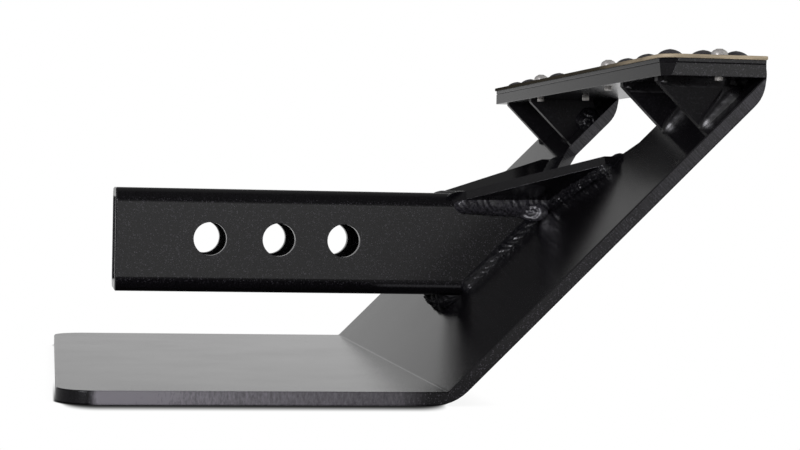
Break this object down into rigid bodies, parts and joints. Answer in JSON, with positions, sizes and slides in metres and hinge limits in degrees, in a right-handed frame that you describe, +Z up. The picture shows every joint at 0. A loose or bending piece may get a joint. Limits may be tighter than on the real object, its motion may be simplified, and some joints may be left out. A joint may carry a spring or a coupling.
{
  "type": "hitch skid plate",
  "caption": "Bent skid plate on a square receiver shank, with splayed gussets, welded seams and a rear step that carries a tread with raised buttons.",
  "frame": {"origin": "centre of the middle hitch pin hole, midway between the shank's side walls", "axes": "+X along the shank from its open end towards the step, +Y across along the pin, +Z up"},
  "size_m": [0.3046, 0.3572, 0.1564],
  "materials": {
    "powder_coat": "satin black powder coat with a fine sparkle",
    "weld_bead": "weld ripples under glossier black powder coat",
    "backing": "satin black coated sheet",
    "tread": "dark glossy face with a bare bronze-tinted cut edge",
    "screws": "bright stainless steel"
  },
  "bodies": {
    "root": {"skid_plate": "powder_coat", "shank_tube": "powder_coat", "step_plate": "powder_coat", "wing_gusset_left": "powder_coat", "wing_gusset_right": "powder_coat", "step_gusset_left_inner": "powder_coat", "step_gusset_left_outer": "powder_coat", "step_gusset_right_inner": "powder_coat", "step_gusset_right_outer": "powder_coat", "shank_bottom_weld": "weld_bead", "shank_top_weld": "weld_bead", "shank_side_weld_left": "weld_bead", "shank_side_weld_right": "weld_bead", "wing_root_weld_left": "weld_bead", "wing_root_weld_right": "weld_bead", "wing_face_weld_left": "weld_bead", "wing_face_weld_right": "weld_bead", "wing_inner_weld_left": "weld_bead", "wing_inner_weld_right": "weld_bead", "wing_crown_weld_left": "weld_bead", "wing_crown_weld_right": "weld_bead", "step_corner_weld_left": "weld_bead", "step_corner_weld_right": "weld_bead", "step_rear_weld_left": "weld_bead", "step_rear_weld_right": "weld_bead", "step_gusset_stitch_left": "weld_bead", "step_gusset_stitch_right": "weld_bead", "step_gusset_weld_left_inner": "weld_bead", "step_gusset_weld_left_outer": "weld_bead", "step_gusset_weld_right_inner": "weld_bead", "step_gusset_weld_right_outer": "weld_bead", "backing_sheet": "backing", "tread_sheet": "tread", "tread_screws": "screws"}
  },
  "joints": []
}
